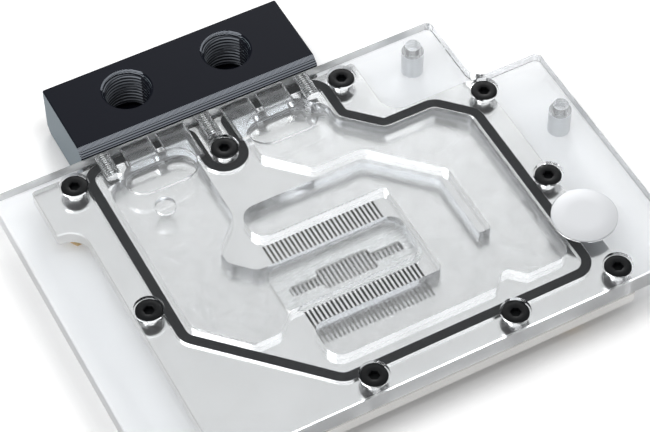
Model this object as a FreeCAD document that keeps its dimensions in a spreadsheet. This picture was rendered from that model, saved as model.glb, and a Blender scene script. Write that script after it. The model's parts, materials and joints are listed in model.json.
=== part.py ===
# Liquid cooling cold plate for a graphics processor: a finned, nickel-plated copper base under a
# clear acrylic cover with milled channels, a rubber gasket, and a terminal block with two G1/4 ports.
# Millimetres. Origin: centre of the face that meets the die. +Z up, +Y towards the terminal block.
import FreeCAD, Part
import math
import os
import Sketcher
from types import SimpleNamespace

Vector = FreeCAD.Vector

DRIVING_SIZES = {
    # Heights. Zero is the die contact face.
    "board_gap": 2.7,               # die contact face down to the circuit board
    "pedestal_height": 0.8,         # die pedestal below the base plate
    "pad_step": 0.4,                # memory and regulator pads below the base plate
    "base_thickness": 4.0,
    "joint_gap": 0.05,              # left between the cover and each piece that it is bolted to
    "cover_thickness": 5.95,
    "terminal_rise": 2.2,           # terminal block above the cover

    # Cover screw places, from the die centre.
    "left_screws_x": -50.1,
    "middle_line_x": -10.6,         # middle screws, terminal block and ports
    "block_to_back_screw": 3.675,   # right end of the terminal block to the back right screw
    "right_screws_x": 58.6,
    "back_screws_y": 53.9,
    "middle_back_screw_y": 47.2,
    "shoulder_screw_y": 32.2,
    "right_middle_screw_y": -0.3,
    "left_front_screw_y": 9.5,
    "front_screws_y": -33.6,
    "front_inner_screw_x": 29.0,

    # Countersunk M4 cover screw.
    "screw_diameter": 4.0,
    "head_diameter": 7.0,
    "head_rim": 0.5,
    "head_sink": 0.6,               # head below the top of the cover
    "cover_screw_length": 9.0,
    "socket_width": 2.5,
    "socket_depth": 1.4,
    "head_edge": 0.2,
    "screw_hole_clearance": 0.2,
    "thread_clearance": 0.05,
    "head_clearance": 0.1,
    "counterbore_clearance": 0.4,

    # Base plate outline.
    "mating_y": 60.35,              # where cover and terminal block meet
    "base_back_inset": 0.75,
    "base_left_margin": 3.5,        # left screws to the edge, front part
    "base_back_flare": 6.4,         # how much wider the back left part is
    "flare_front_y": 43.2,
    "base_right_margin": 2.6,
    "base_shoulder_margin": 6.5,
    "base_shoulder_reach": 2.8,     # gasket to the base's edge along the shoulder
    "front_margin": 5.7,            # front screws to the front edge, base and cover
    "base_corner": 1.0,
    "flare_corner": 0.8,
    "base_hollow": 5.5,
    "shoulder_round": 4.5,
    "edge_break": 0.3,              # chamfer round the base, the cover and the block's ends

    # Underside of the base plate.
    "pedestal_side": 36.0,
    "memory_pad_width": 12.0,
    "memory_pad_length": 40.0,
    "memory_pad_place": 38.0,       # die centre to the middle of a pad
    "pad_round": 1.0,

    # Fins over the die.
    "fin_field_x": 32.0,
    "fin_back_y": 15.5,
    "fin_front_y": -17.2,
    "fin_pitch": 1.2,
    "fin_gap": 0.6,
    "fin_height": 3.0,

    # Cover outline.
    "cover_left_margin": 20.6,      # left screws to the left edge
    "cover_right_margin": 19.5,
    "cover_shoulder_x": 58.0,
    "cover_shoulder_y": 36.8,
    "cover_corner": 1.8,
    "cover_inner_corner": 4.5,

    # Gasket and its groove in the cover.
    "gasket_width": 2.5,
    "gasket_depth": 1.2,
    "groove_clearance": 0.1,
    "screw_to_gasket": 4.6,
    "front_screw_to_gasket": 3.9,
    "terminal_to_gasket": 2.35,
    "shoulder_gasket_y": 36.6,
    "shoulder_diagonal": 8.1,
    "back_corner_cut": 8.4,
    "front_corner_cut": 29.0,
    "gasket_corner": 4.5,
    "gasket_bend": 2.0,
    "detour_radius": 5.0,           # loop round the middle back screw
    "detour_flat": 0.1,

    # Channels in the underside of the cover.
    "channel_depth": 3.4,
    "deep_pocket_depth": 4.8,
    "gasket_to_channel": 2.6,
    "chamber_back_y": 50.5,
    "nose_back_y": 26.5,
    "nose_x": -26.3,
    "nose_cut": 5.6,
    "bar_back_y": 8.3,
    "bar_front_y": -6.5,
    "bar_right_x": 18.5,
    "sump_right_x": -19.3,
    "sump_front_y": -11.5,
    "spot_x": -32.3,
    "spot_y": 37.2,
    "spot_diameter": 5.5,
    "outlet_left_x": -16.8,
    "outlet_front_y": -24.5,
    "front_slot_y": -13.0,
    "back_slot_y": 16.7,
    "island_right_x": 20.2,
    "outlet_back_y": 27.3,
    "divider_x": 34.0,
    "divider_thickness": 3.3,
    "divider_diagonal": 14.4,
    "divider_end_y": -7.7,
    "outlet_diagonal": 10.1,
    "bump_x": 33.5,
    "bump_half_width": 1.0,
    "bump_height": 3.5,
    "channel_corner": 3.0,
    "wide_corner": 4.4,
    "tight_corner": 1.4,
    "divider_round": 0.5,
    "pocket_back_y": 53.7,
    "pocket_front_y": 42.8,
    "pocket_round": 5.4,
    "left_pocket_length": 20.2,
    "right_pocket_length": 20.0,

    # Jet plate over the fins.
    "jet_plate_thickness": 0.8,
    "jet_plate_lip": 0.8,
    "jet_plate_clearance": 0.1,
    "jet_plate_left_x": -19.0,
    "jet_slot_length": 31.6,
    "jet_slot_width": 3.1,
    "jet_window_length": 14.8,
    "jet_window_width": 6.6,
    "jet_round": 0.6,

    # Terminal block.
    "terminal_length": 68.85,
    "terminal_depth": 24.75,
    "terminal_bevel_depth": 2.3,
    "terminal_bevel_height": 1.9,
    "terminal_foot_chamfer": 2.0,
    "terminal_edge": 0.3,
    "port_shift": 0.05,             # ports outwards from midway between their screws
    "port_from_mating": 14.6,
    "port_diameter": 13.16,
    "port_mouth": 13.9,
    "port_depth": 14.0,
    "passage_to_screw": 5.15,       # passages to the middle screw's centre line
    "passage_drop": 2.0,            # below the top of the cover
    "passage_height": 2.4,
    "passage_round": 1.0,
    "passage_rib": 1.7,
    "seal_land": 0.3,
    "seal_width": 1.0,
    "seal_depth": 0.8,

    # Screws that hold the terminal block to the edge of the cover.
    "terminal_screw_inset": 5.425,  # outer screws from the ends of the block
    "terminal_screw_drop": 2.5,     # below the top of the cover
    "terminal_hole_depth": 8.0,
    "terminal_screw_reach": 7.5,
    "cap_head_diameter": 7.0,
    "cap_head_height": 4.0,
    "cap_head_sink": 0.4,

    # Bosses on the overhanging cover, down to the board.
    "boss_diameter": 6.0,
    "boss_back_x": 50.1,
    "boss_back_y": 55.4,
    "boss_right_x": 74.2,
    "boss_right_y": 18.8,
    "boss_hole_diameter": 4.2,
    "boss_hole_depth": 11.5,

    # Round badge on the cover.
    "badge_x": 59.4,
    "badge_y": -16.4,
    "badge_diameter": 17.0,
    "badge_thickness": 0.6,
    "badge_seat": 0.4,
    "badge_clearance": 0.1,
    "badge_edge": 0.15,

    # Brass standoffs under the base plate.
    "die_hole_spacing": 53.3,
    "standoff_width": 5.0,
    "standoff_stud": 3.0,
    "standoff_stud_length": 2.4,
    "standoff_bore": 2.5,
    "stud_clearance": 0.05,
    "outer_left_x": -46.5,
    "outer_right_x": 44.0,
    "outer_front_y": -34.5,
    "outer_back_x": -53.5,
    "outer_back_y": 46.0,
}

# Share of a parallel offset by which a 45 degree corner slides along its line.
DIAGONAL_SLIDE = math.tan(math.radians(22.5))


class Size:
    """A length known both as a number and as the sheet expression that gives it."""

    def __init__(self, text, value):
        self.text = text
        self.value = value

    def combine(self, sign, other, value):
        return Size(f"({self.text} {sign} {other.text})", value)

    def __add__(self, other):
        other = as_size(other)
        return self.combine("+", other, self.value + other.value)

    def __sub__(self, other):
        other = as_size(other)
        return self.combine("-", other, self.value - other.value)

    def __mul__(self, other):
        other = as_size(other)
        return self.combine("*", other, self.value * other.value)

    def __truediv__(self, other):
        other = as_size(other)
        return self.combine("/", other, self.value / other.value)

    def __neg__(self):
        return Size(f"(0 - {self.text})", -self.value)


def as_size(value):
    if isinstance(value, Size):
        return value
    return Size(f"({value:.9g})", float(value))


document = FreeCAD.newDocument("ColdPlate")


def fill_sheet():
    """Put every driving size in the spreadsheet and return them by name."""
    sheet = document.addObject("Spreadsheet::Sheet", "Sizes")
    sizes = {}
    for row, (name, value) in enumerate(DRIVING_SIZES.items(), start=1):
        sheet.set(f"A{row}", name)
        sheet.set(f"B{row}", str(value))
        sheet.setAlias(f"B{row}", name)
        sizes[name] = Size(f"Sizes.{name}", float(value))
    document.recompute()
    return SimpleNamespace(**sizes)


size = fill_sheet()


def bind(feature, name, value):
    """Set a property of a feature and tie it to the sheet."""
    feature.setExpression(name, as_size(value).text)


def new_body(name):
    body = document.addObject("PartDesign::Body", name)
    body.Label = name
    return body


def new_sketch(body, name, role, offset):
    """A sketch on one of the body's own origin planes, lifted along its normal."""
    sketch = body.newObject("Sketcher::SketchObject", name)
    plane = next(part for part in body.Origin.OriginFeatures if part.Role == role)
    sketch.AttachmentSupport = [(plane, "")]
    sketch.MapMode = "FlatFace"
    sketch.AttachmentOffset.Base = Vector(0, 0, as_size(offset).value)
    bind(sketch, "AttachmentOffset.Base.z", offset)
    return sketch


def bound_constraints(sketch, entries):
    """Add dimension constraints together, then tie each to its expression."""
    indexes = sketch.addConstraint([constraint for constraint, length in entries])
    for index, (constraint, length) in zip(indexes, entries):
        sketch.setExpression(f"Constraints[{index}]", length.text)


def place_point(sketch, index, x, y):
    """Constraints that put one sketch point at x, y, whichever side of the axes it is on."""
    entries = []
    for kind, length in (("DistanceX", x), ("DistanceY", y)):
        entries.append((Sketcher.Constraint(kind, -1, 1, index, 1, length.value), length))
    return entries


def corner_round(before, corner, after, radius):
    """Where a corner's arc starts and ends, and its centre."""
    backward = (before - corner).normalize()
    forward = (after - corner).normalize()
    half_angle = math.acos(max(-1.0, min(1.0, backward.dot(forward)))) / 2
    reach = radius / math.tan(half_angle)
    centre = corner + (backward + forward).normalize() * (radius / math.sin(half_angle))
    return corner + backward * reach, corner + forward * reach, centre


def draw_outline(sketch, corners):
    """Draw a closed outline of straight runs and tangent arcs. Each corner is (x, y, radius)."""
    corners = [tuple(as_size(number) for number in corner) for corner in corners]
    points = [Vector(x.value, y.value, 0) for x, y, radius in corners]
    count = len(corners)
    rounds = []
    for index in range(count):
        after = points[(index + 1) % count]
        rounds.append(corner_round(points[index - 1], points[index], after, corners[index][2].value))

    lines = [Part.LineSegment(rounds[i][1], rounds[(i + 1) % count][0]) for i in range(count)]
    arcs = []
    turns_left = []
    for index, (start, end, centre) in enumerate(rounds):
        turns_left.append((points[index] - start).cross(end - points[index]).z > 0)
        first, last = (start, end) if turns_left[-1] else (end, start)
        circle = Part.Circle(centre, Vector(0, 0, 1), corners[index][2].value)
        angles = [math.atan2(point.y - centre.y, point.x - centre.x) for point in (first, last)]
        arcs.append(Part.ArcOfCircle(circle, *angles))
    first_line = sketch.addGeometry(lines, False)[0]
    first_arc = sketch.addGeometry(arcs, False)[0]
    marks = [Part.Point(point) for point in points]
    first_mark = sketch.addGeometry(marks, True)[0]

    joins = []
    for index in range(count):
        line_in = first_line + (index - 1) % count
        line_out = first_line + index
        arc = first_arc + index
        mark = first_mark + index
        arc_start, arc_end = (1, 2) if turns_left[index] else (2, 1)
        joins.append(Sketcher.Constraint("Tangent", line_in, 2, arc, arc_start))
        joins.append(Sketcher.Constraint("Tangent", arc, arc_end, line_out, 1))
        joins.append(Sketcher.Constraint("PointOnObject", mark, 1, line_in))
        joins.append(Sketcher.Constraint("PointOnObject", mark, 1, line_out))
    sketch.addConstraint(joins)
    entries = []
    for index, (x, y, radius) in enumerate(corners):
        entries += place_point(sketch, first_mark + index, x, y)
        entries.append((Sketcher.Constraint("Radius", first_arc + index, radius.value), radius))
    bound_constraints(sketch, entries)


def draw_rectangle(sketch, left, front, right, back, radius):
    draw_outline(sketch, [(left, front, radius), (right, front, radius),
                          (right, back, radius), (left, back, radius)])


def draw_circle(sketch, x, y, diameter):
    x, y, diameter = as_size(x), as_size(y), as_size(diameter)
    circle = Part.Circle(Vector(x.value, y.value, 0), Vector(0, 0, 1), diameter.value / 2)
    index = sketch.addGeometry(circle, False)
    entries = []
    for kind, length in (("DistanceX", x), ("DistanceY", y)):
        entries.append((Sketcher.Constraint(kind, -1, 1, index, 3, length.value), length))
    entries.append((Sketcher.Constraint("Diameter", index, diameter.value), diameter))
    bound_constraints(sketch, entries)


def draw_hexagon(sketch, width):
    """A hexagon about the sketch's origin, given across its flats."""
    radius = width / math.sqrt(3)
    ring = Part.Circle(Vector(0, 0, 0), Vector(0, 0, 1), radius.value)
    angles = [math.radians(60 * step) for step in range(6)]
    points = [Vector(math.cos(angle), math.sin(angle), 0) * radius.value for angle in angles]
    lines = [Part.LineSegment(points[i], points[(i + 1) % 6]) for i in range(6)]
    sketch.addGeometry(lines, False)
    ring_index = sketch.addGeometry(ring, True)
    sketch.addConstraint(Sketcher.Constraint("Coincident", ring_index, 3, -1, 1))
    for index in range(6):
        following = (index + 1) % 6
        sketch.addConstraint(Sketcher.Constraint("Coincident", index, 2, following, 1))
        sketch.addConstraint(Sketcher.Constraint("PointOnObject", index, 1, ring_index))
    for index in range(1, 6):
        sketch.addConstraint(Sketcher.Constraint("Equal", 0, index))
    sketch.addConstraint(Sketcher.Constraint("PointOnObject", 0, 1, -1))
    bound_constraints(sketch, [(Sketcher.Constraint("Radius", ring_index, radius.value), radius)])


def pad(body, name, sketch, length):
    feature = body.newObject("PartDesign::Pad", name)
    feature.Profile = sketch
    bind(feature, "Length", length)
    return feature


def pocket(body, name, sketch, length, along_normal=False):
    """Cut a profile against its sketch's normal, or along it."""
    document.recompute()
    before = body.Shape.Volume
    feature = body.newObject("PartDesign::Pocket", name)
    feature.Profile = sketch
    feature.Reversed = along_normal
    bind(feature, "Length", length)
    document.recompute()
    if body.Shape.Volume > before - 1e-6:
        raise RuntimeError(f"{name} cuts nothing from {body.Label}")
    return feature


def chamfer_faces(body, name, feature, axis, length, one_side=False):
    """Chamfer the edges of the end faces across an axis, or of the far one alone."""
    document.recompute()
    shape = feature.Shape
    ends = (shape.BoundBox.getPoint(0).dot(axis), shape.BoundBox.getPoint(6).dot(axis))
    limits = ends[1:] if one_side else ends
    names = []
    for index, face in enumerate(shape.Faces, start=1):
        if face.BoundBox.DiagonalLength < 1e-6:
            continue
        middle = face.CenterOfMass.dot(axis)
        across = abs(face.normalAt(0, 0).dot(axis)) > 0.999
        if across and min(abs(middle - limit) for limit in limits) < 1e-4:
            names.append(f"Face{index}")
    cut = body.newObject("PartDesign::Chamfer", name)
    cut.Base = (feature, names)
    bind(cut, "Size", length)
    document.recompute()
    return cut


def cone_cut(body, name, x, y, z, lower_radius, upper_radius, height):
    """Cut an upright cone that stands on x, y, z."""
    feature = body.newObject("PartDesign::SubtractiveCone", name)
    bind(feature, "Radius1", lower_radius)
    bind(feature, "Radius2", upper_radius)
    bind(feature, "Height", height)
    for axis, length in (("x", x), ("y", y), ("z", z)):
        bind(feature, f"AttachmentOffset.Base.{axis}", length)
    plane = next(part for part in body.Origin.OriginFeatures if part.Role == "XY_Plane")
    feature.AttachmentSupport = [(plane, "")]
    feature.MapMode = "FlatFace"
    return feature


def put(part, x, y, z):
    """Place a finished sub-part."""
    for axis, length in (("x", x), ("y", y), ("z", z)):
        bind(part, f"Placement.Base.{axis}", length)


# Levels that several pieces share.
base_bottom = size.pedestal_height
base_top = base_bottom + size.base_thickness
cover_bottom = base_top + size.joint_gap
cover_top = cover_bottom + size.cover_thickness
board = -size.board_gap
terminal_top = cover_top + size.terminal_rise
terminal_screw_z = cover_top - size.terminal_screw_drop
passage_top = cover_top - size.passage_drop
passage_bottom = passage_top - size.passage_height
shank_hole = size.screw_diameter + size.screw_hole_clearance * 2
tapped_hole = size.screw_diameter + size.thread_clearance * 2
head_seat = cover_top - size.head_sink - size.head_rim
block_near_y = size.mating_y + size.joint_gap
block_far_y = block_near_y + size.terminal_depth
terminal_screw_reach_x = size.terminal_length / 2 - size.terminal_screw_inset
port_offset = terminal_screw_reach_x / 2 + size.port_shift
passage_half = port_offset - size.passage_to_screw
back_right_screw_x = size.middle_line_x + size.terminal_length / 2 + size.block_to_back_screw

cover_screws = [
    (size.left_screws_x, size.back_screws_y),
    (size.middle_line_x, size.middle_back_screw_y),
    (back_right_screw_x, size.back_screws_y),
    (size.right_screws_x, size.shoulder_screw_y),
    (size.right_screws_x, size.right_middle_screw_y),
    (size.left_screws_x, size.left_front_screw_y),
    (size.middle_line_x, size.front_screws_y),
    (size.front_inner_screw_x, size.front_screws_y),
    (size.right_screws_x, size.front_screws_y),
]
port_places = [size.middle_line_x - port_offset, size.middle_line_x + port_offset]
terminal_screw_places = [
    size.middle_line_x - terminal_screw_reach_x,
    size.middle_line_x,
    size.middle_line_x + terminal_screw_reach_x,
]
half_die = size.die_hole_spacing / 2
standoff_places = [
    (-half_die, -half_die),
    (half_die, -half_die),
    (-half_die, half_die),
    (half_die, half_die),
    (size.outer_left_x, size.outer_front_y),
    (size.outer_right_x, size.outer_front_y),
    (size.outer_back_x, size.outer_back_y),
]

# Gasket runs.
gasket_left = size.left_screws_x + size.screw_to_gasket
gasket_back = size.mating_y - size.terminal_to_gasket
gasket_inner = back_right_screw_x - size.screw_to_gasket
gasket_right = size.right_screws_x - size.screw_to_gasket
gasket_front = size.front_screws_y + size.front_screw_to_gasket
front_edge = size.front_screws_y - size.front_margin


def base_outline():
    front_left = size.left_screws_x - size.base_left_margin
    back_left = front_left - size.base_back_flare
    right = size.right_screws_x + size.base_right_margin
    back = size.mating_y - size.base_back_inset
    shoulder_x = back_right_screw_x + size.base_shoulder_margin
    shoulder_y = size.shoulder_gasket_y + size.base_shoulder_reach
    round_corner = size.base_corner
    return [
        (front_left, front_edge, round_corner),
        (right, front_edge, round_corner),
        (right, shoulder_y, size.shoulder_round),
        (shoulder_x, shoulder_y, size.base_hollow),
        (shoulder_x, back, round_corner),
        (back_left, back, round_corner),
        (back_left, size.flare_front_y, size.flare_corner),
        (front_left, size.flare_front_y, size.base_hollow),
    ]


def make_base_plate():
    """Copper plate with the fins on top and the die pedestal and memory pads below."""
    body = new_body("base_plate")
    outline = new_sketch(body, "base_outline", "XY_Plane", base_bottom)
    draw_outline(outline, base_outline())
    slab = pad(body, "base_slab", outline, size.base_thickness)
    chamfer_faces(body, "base_edges", slab, Vector(0, 0, 1), size.edge_break)

    pedestal = new_sketch(body, "pedestal_outline", "XY_Plane", 0)
    half = size.pedestal_side / 2
    draw_rectangle(pedestal, -half, -half, half, half, size.pad_round)
    pad(body, "die_pedestal", pedestal, size.pedestal_height)

    pads = new_sketch(body, "memory_pad_outlines", "XY_Plane", base_bottom - size.pad_step)
    half_width = size.memory_pad_width / 2
    half_length = size.memory_pad_length / 2
    for middle in (-size.memory_pad_place, size.memory_pad_place):
        draw_rectangle(pads, middle - half_width, -half_length,
                       middle + half_width, half_length, size.pad_round)
    draw_rectangle(pads, -half_length, size.memory_pad_place - half_width,
                   half_length, size.memory_pad_place + half_width, size.pad_round)
    pad(body, "memory_pads", pads, size.pad_step)

    taps = new_sketch(body, "screw_taps", "XY_Plane", base_top)
    for x, y in cover_screws:
        draw_circle(taps, x, y, tapped_hole)
    pocket(body, "tapped_holes", taps, size.base_thickness)

    studs = new_sketch(body, "standoff_taps", "XY_Plane", base_bottom)
    stud_hole = size.standoff_stud + size.stud_clearance * 2
    for x, y in standoff_places:
        draw_circle(studs, x, y, stud_hole)
    stud_depth = size.standoff_stud_length + size.stud_clearance
    pocket(body, "standoff_holes", studs, stud_depth, along_normal=True)

    cut_fins(body)
    return body


def cut_fins(body):
    """Narrow slots side by side leave the fins standing."""
    slots = (size.fin_field_x - size.fin_gap) / size.fin_pitch
    whole_slots = Size(f"floor({slots.text})", math.floor(slots.value))
    span = whole_slots * size.fin_pitch
    slot = new_sketch(body, "fin_slot", "XY_Plane", base_top)
    left = -(span + size.fin_gap) / 2
    right = left + size.fin_gap
    draw_polygon(slot, [(left, size.fin_front_y), (right, size.fin_front_y),
                        (right, size.fin_back_y), (left, size.fin_back_y)])
    first_slot = pocket(body, "first_fin_gap", slot, size.fin_height)
    pattern = body.newObject("PartDesign::LinearPattern", "fin_gaps")
    pattern.Originals = [first_slot]
    axis = next(part for part in body.Origin.OriginFeatures if part.Role == "X_Axis")
    pattern.Direction = (axis, [""])
    bind(pattern, "Length", span)
    bind(pattern, "Occurrences", whole_slots + 1)
    body.Tip = pattern


def cover_outline():
    left = size.left_screws_x - size.cover_left_margin
    right = size.right_screws_x + size.cover_right_margin
    corner = size.cover_corner
    return [
        (left, front_edge, corner),
        (right, front_edge, corner),
        (right, size.cover_shoulder_y, corner),
        (size.cover_shoulder_x, size.cover_shoulder_y, size.cover_inner_corner),
        (size.cover_shoulder_x, size.mating_y, corner),
        (left, size.mating_y, corner),
    ]


def inlet_outline():
    """Inlet chamber on the left, which narrows into the bar over the jet plate."""
    left = gasket_left + size.gasket_to_channel
    right = size.middle_line_x - size.detour_radius - size.gasket_to_channel
    nose_back_cut = right - size.nose_x
    sump_cut = size.bar_front_y - size.sump_front_y
    slant = size.gasket_to_channel * DIAGONAL_SLIDE
    diagonal_back = gasket_front + size.front_corner_cut + slant
    diagonal_run = diagonal_back - size.sump_front_y
    corner = size.channel_corner
    return [
        (left, size.chamber_back_y, size.wide_corner),
        (left, diagonal_back, corner),
        (left + diagonal_run, size.sump_front_y, corner),
        (size.sump_right_x - sump_cut, size.sump_front_y, corner),
        (size.sump_right_x, size.bar_front_y, corner),
        (size.bar_right_x, size.bar_front_y, size.wide_corner),
        (size.bar_right_x, size.bar_back_y, size.wide_corner),
        (size.nose_x + size.nose_cut, size.bar_back_y, corner),
        (size.nose_x, size.bar_back_y + size.nose_cut, corner),
        (size.nose_x, size.nose_back_y - nose_back_cut, corner),
        (right, size.nose_back_y, corner),
        (right, size.chamber_back_y, size.tight_corner),
    ]


def outlet_outline():
    """Outlet channel: both ends of the fins, round the divider and back to the right port."""
    wall = size.gasket_to_channel
    slant = wall * DIAGONAL_SLIDE
    left = size.middle_line_x + size.detour_radius + wall
    inner = gasket_inner - wall
    right = gasket_right - wall
    shoulder = size.shoulder_gasket_y - wall
    shoulder_back = size.shoulder_gasket_y + size.shoulder_diagonal - slant
    shoulder_x = gasket_inner + size.shoulder_diagonal - slant
    cut_x = gasket_right - size.back_corner_cut - slant
    cut_y = size.shoulder_gasket_y - size.back_corner_cut - slant
    divider_slide = size.divider_thickness * DIAGONAL_SLIDE
    divider_out = size.divider_x + size.divider_thickness
    divider_back = size.outlet_back_y + size.divider_thickness
    divider_left = size.divider_x - size.divider_diagonal
    divider_front = size.outlet_back_y - size.divider_diagonal
    bump_foot = size.bump_half_width + size.bump_height
    bump_top = size.outlet_front_y + size.bump_height
    corner = size.channel_corner
    return [
        (left, size.chamber_back_y, size.tight_corner),
        (left, divider_back + size.outlet_diagonal, corner),
        (left + size.outlet_diagonal, divider_back, corner),
        (divider_left + divider_slide, divider_back, corner),
        (divider_out, divider_front + divider_slide, corner),
        (divider_out, size.divider_end_y, size.divider_round),
        (size.divider_x, size.divider_end_y, size.divider_round),
        (size.divider_x, divider_front, corner),
        (divider_left, size.outlet_back_y, corner),
        (size.outlet_left_x, size.outlet_back_y, size.wide_corner),
        (size.outlet_left_x, size.back_slot_y, size.wide_corner),
        (size.island_right_x, size.back_slot_y, size.tight_corner),
        (size.island_right_x, size.front_slot_y, size.tight_corner),
        (size.outlet_left_x, size.front_slot_y, corner),
        (size.outlet_left_x, size.outlet_front_y, size.wide_corner),
        (size.bump_x - bump_foot, size.outlet_front_y, size.tight_corner),
        (size.bump_x - size.bump_half_width, bump_top, size.tight_corner),
        (size.bump_x + size.bump_half_width, bump_top, size.tight_corner),
        (size.bump_x + bump_foot, size.outlet_front_y, size.tight_corner),
        (right, size.outlet_front_y, size.wide_corner),
        (right, cut_y, corner),
        (cut_x, shoulder, corner),
        (shoulder_x, shoulder, corner),
        (inner, shoulder_back, corner),
        (inner, size.chamber_back_y, size.wide_corner),
    ]


def gasket_outline():
    """Middle line of the gasket, with its detour round the middle back screw."""
    detour_left = size.middle_line_x - size.detour_radius
    detour_right = size.middle_line_x + size.detour_radius
    detour_front = size.middle_back_screw_y - size.detour_radius
    detour_round = size.detour_radius - size.detour_flat
    bend = size.gasket_bend
    corner = size.gasket_corner
    return [
        (gasket_left, gasket_back, corner),
        (gasket_left, gasket_front + size.front_corner_cut, corner),
        (gasket_left + size.front_corner_cut, gasket_front, corner),
        (gasket_right, gasket_front, corner),
        (gasket_right, size.shoulder_gasket_y - size.back_corner_cut, corner),
        (gasket_right - size.back_corner_cut, size.shoulder_gasket_y, corner),
        (gasket_inner + size.shoulder_diagonal, size.shoulder_gasket_y, bend),
        (gasket_inner, size.shoulder_gasket_y + size.shoulder_diagonal, bend),
        (gasket_inner, gasket_back, corner),
        (detour_right, gasket_back, bend),
        (detour_right, detour_front, detour_round),
        (detour_left, detour_front, detour_round),
        (detour_left, gasket_back, bend),
    ]


def gasket_band(name, path, clearance, height):
    """A band of even width along the gasket's middle line, extruded upwards."""
    width = size.gasket_width + clearance * 2
    inner = document.addObject("Part::Offset2D", f"{name}_inner_edge")
    inner.Source = path
    inner.Value = -width.value / 2
    bind(inner, "Value", -(width / 2))
    band = document.addObject("Part::Offset2D", f"{name}_band")
    band.Source = inner
    band.Value = width.value
    band.Fill = True
    bind(band, "Value", width)
    solid = document.addObject("Part::Extrusion", name)
    solid.Label = name
    solid.Base = band
    solid.DirMode = "Custom"
    solid.Dir = Vector(0, 0, 1)
    solid.Solid = True
    bind(solid, "LengthFwd", height)
    return solid


def make_gasket_path():
    path = document.addObject("Sketcher::SketchObject", "gasket_path")
    bind(path, "Placement.Base.z", base_top)
    draw_outline(path, gasket_outline())
    return path


def deep_pockets(body):
    """Two stadium pockets where the port passages drop into the channels, and a round spot."""
    sketch = new_sketch(body, "deep_pocket_outlines", "XY_Plane", cover_bottom)
    left_end = size.middle_line_x - size.detour_radius - size.gasket_to_channel
    right_end = size.middle_line_x + size.detour_radius + size.gasket_to_channel
    for start, end in ((left_end - size.left_pocket_length, left_end),
                       (right_end, right_end + size.right_pocket_length)):
        draw_rectangle(sketch, start, size.pocket_front_y, end, size.pocket_back_y, size.pocket_round)
    draw_circle(sketch, size.spot_x, size.spot_y, size.spot_diameter)
    pocket(body, "deep_pockets", sketch, size.deep_pocket_depth, along_normal=True)


def draw_passages(sketch):
    """The two slots of each port passage, either side of a rib."""
    for middle in port_places:
        rib = size.passage_rib / 2
        for start, end in ((middle - passage_half, middle - rib), (middle + rib, middle + passage_half)):
            draw_rectangle(sketch, start, passage_bottom, end, passage_top, size.passage_round)


def cut_cover_screw_holes(body):
    shanks = new_sketch(body, "shank_holes", "XY_Plane", cover_top)
    rims = new_sketch(body, "counterbores", "XY_Plane", cover_top)
    rim_hole = size.head_diameter + size.counterbore_clearance * 2
    for x, y in cover_screws:
        draw_circle(shanks, x, y, shank_hole)
        draw_circle(rims, x, y, rim_hole)
    pocket(body, "screw_shank_holes", shanks, size.cover_thickness)
    pocket(body, "screw_counterbores", rims, size.head_sink + size.head_rim)
    upper = size.head_diameter / 2 + size.head_clearance
    lower = shank_hole / 2
    height = upper - lower
    for number, (x, y) in enumerate(cover_screws, start=1):
        cone_cut(body, f"countersink_{number}", x, y, head_seat - height, lower, upper, height)


def add_bosses(body):
    """Round feet on the overhang, each with a tapped blind hole from below."""
    bosses = new_sketch(body, "boss_outlines", "XY_Plane", board)
    boss_holes = new_sketch(body, "boss_hole_outlines", "XY_Plane", board)
    for x, y in ((size.boss_back_x, size.boss_back_y), (size.boss_right_x, size.boss_right_y)):
        draw_circle(bosses, x, y, size.boss_diameter)
        draw_circle(boss_holes, x, y, size.boss_hole_diameter)
    pad(body, "bosses", bosses, cover_bottom - board)
    pocket(body, "boss_holes", boss_holes, size.boss_hole_depth, along_normal=True)


def cut_channels(body):
    """Inlet chamber, outlet channel, deep pockets and the jet plate's recess, from below."""
    for name, outline in (("inlet_chamber", inlet_outline()), ("outlet_channel", outlet_outline())):
        sketch = new_sketch(body, f"{name}_outline", "XY_Plane", cover_bottom)
        draw_outline(sketch, outline)
        pocket(body, name, sketch, size.channel_depth, along_normal=True)
    deep_pockets(body)
    recess = new_sketch(body, "jet_recess_outline", "XY_Plane", cover_bottom)
    draw_rectangle(recess, *jet_plate_sides(size.jet_plate_clearance), size.wide_corner)
    pocket(body, "jet_recess", recess, size.jet_plate_thickness, along_normal=True)


def cut_back_face(body):
    """Port passages and the tapped holes for the terminal block's screws."""
    passages = new_sketch(body, "passage_outlines", "XZ_Plane", -size.mating_y)
    draw_passages(passages)
    pocket(body, "passages", passages, size.mating_y - size.pocket_back_y + size.pocket_round,
           along_normal=True)
    taps = new_sketch(body, "terminal_taps", "XZ_Plane", -size.mating_y)
    for x in terminal_screw_places:
        draw_circle(taps, x, terminal_screw_z, tapped_hole)
    pocket(body, "terminal_tapped_holes", taps, size.terminal_hole_depth, along_normal=True)


def make_cover_plate(path):
    """Clear cover: slab and bosses, less holes, badge seat, channels, passages and groove."""
    body = new_body("cover_slab")
    outline = new_sketch(body, "cover_outline", "XY_Plane", cover_bottom)
    draw_outline(outline, cover_outline())
    slab = pad(body, "slab", outline, size.cover_thickness)
    chamfer_faces(body, "cover_edges", slab, Vector(0, 0, 1), size.edge_break)
    cut_cover_screw_holes(body)
    seat = new_sketch(body, "badge_seat_outline", "XY_Plane", cover_top)
    draw_circle(seat, size.badge_x, size.badge_y, size.badge_diameter + size.badge_clearance * 2)
    pocket(body, "badge_seat", seat, size.badge_seat)
    add_bosses(body)
    cut_back_face(body)
    cut_channels(body)

    groove_height = size.joint_gap + size.gasket_depth
    groove = gasket_band("gasket_groove", path, size.groove_clearance, groove_height)
    cover = document.addObject("Part::Cut", "cover_plate")
    cover.Label = "cover_plate"
    cover.Base = body
    cover.Tool = groove
    return cover


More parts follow.
